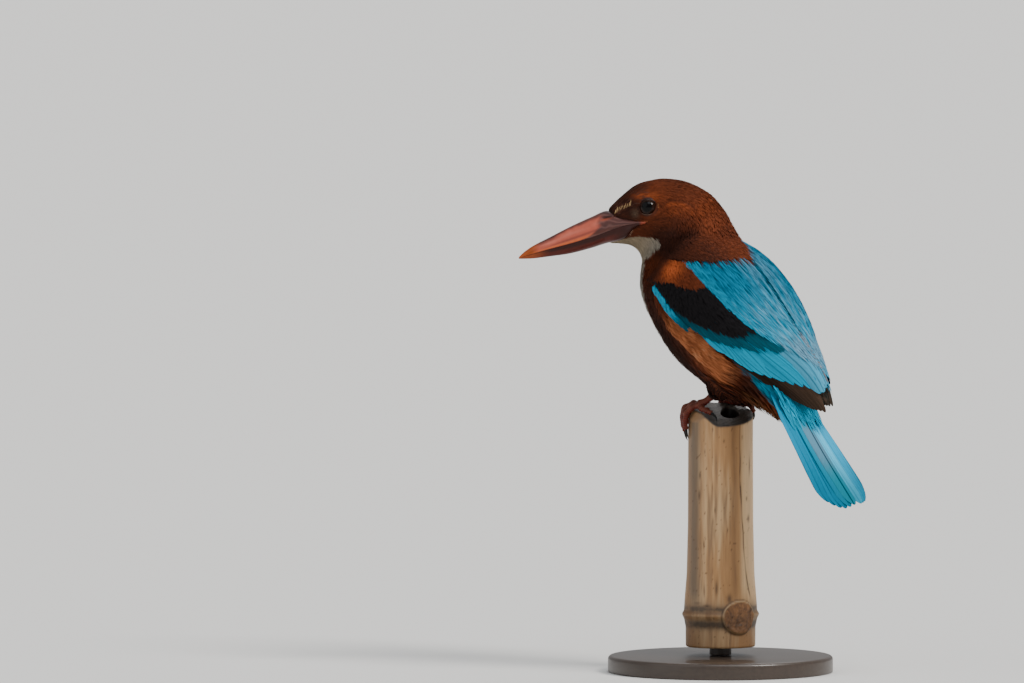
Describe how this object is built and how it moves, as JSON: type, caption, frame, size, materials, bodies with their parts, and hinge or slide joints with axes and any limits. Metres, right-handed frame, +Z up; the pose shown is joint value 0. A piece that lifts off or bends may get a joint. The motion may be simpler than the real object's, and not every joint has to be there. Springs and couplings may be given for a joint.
{
  "type": "mounted white-throated kingfisher model",
  "caption": "Life-size still model of a white-throated kingfisher gripping the cut end of a bamboo stem, held upright by a flat round stand with a short rod.",
  "frame": {"origin": "centre of the stand's flat underside", "axes": "-X is the way the bird's body faces, -Y is the bird's left and +Z is up"},
  "size_m": [0.1898, 0.124, 0.2712],
  "materials": {
    "chestnut_plumage": "soft matt feathers",
    "blue_plumage": "feathers with a silky sheen",
    "bill_horn": "smooth horn, satin",
    "leg_skin": "scaly skin, satin",
    "claw_horn": "polished horn",
    "eye_surface": "wet gloss",
    "bamboo": "weathered bark, satin",
    "stand_finish": "dark stain, satin"
  },
  "bodies": {
    "root": {"bill_lower": "bill_horn", "bill_upper": "bill_horn", "claw_left_hind": "claw_horn", "claw_left_inner": "claw_horn", "claw_left_middle": "claw_horn", "claw_left_outer": "claw_horn", "claw_right_hind": "claw_horn", "claw_right_inner": "claw_horn", "claw_right_middle": "claw_horn", "claw_right_outer": "claw_horn", "eye_left": "eye_surface", "eye_right": "eye_surface", "foot_left": "leg_skin", "foot_right": "leg_skin", "head": "chestnut_plumage", "neck": "chestnut_plumage", "perch_stem": "bamboo", "stand_base": "stand_finish", "stand_rod": "stand_finish", "tail": "blue_plumage", "thigh_left": "chestnut_plumage", "thigh_right": "chestnut_plumage", "torso": "chestnut_plumage", "wing_left": "blue_plumage", "wing_right": "blue_plumage"}
  },
  "joints": []
}
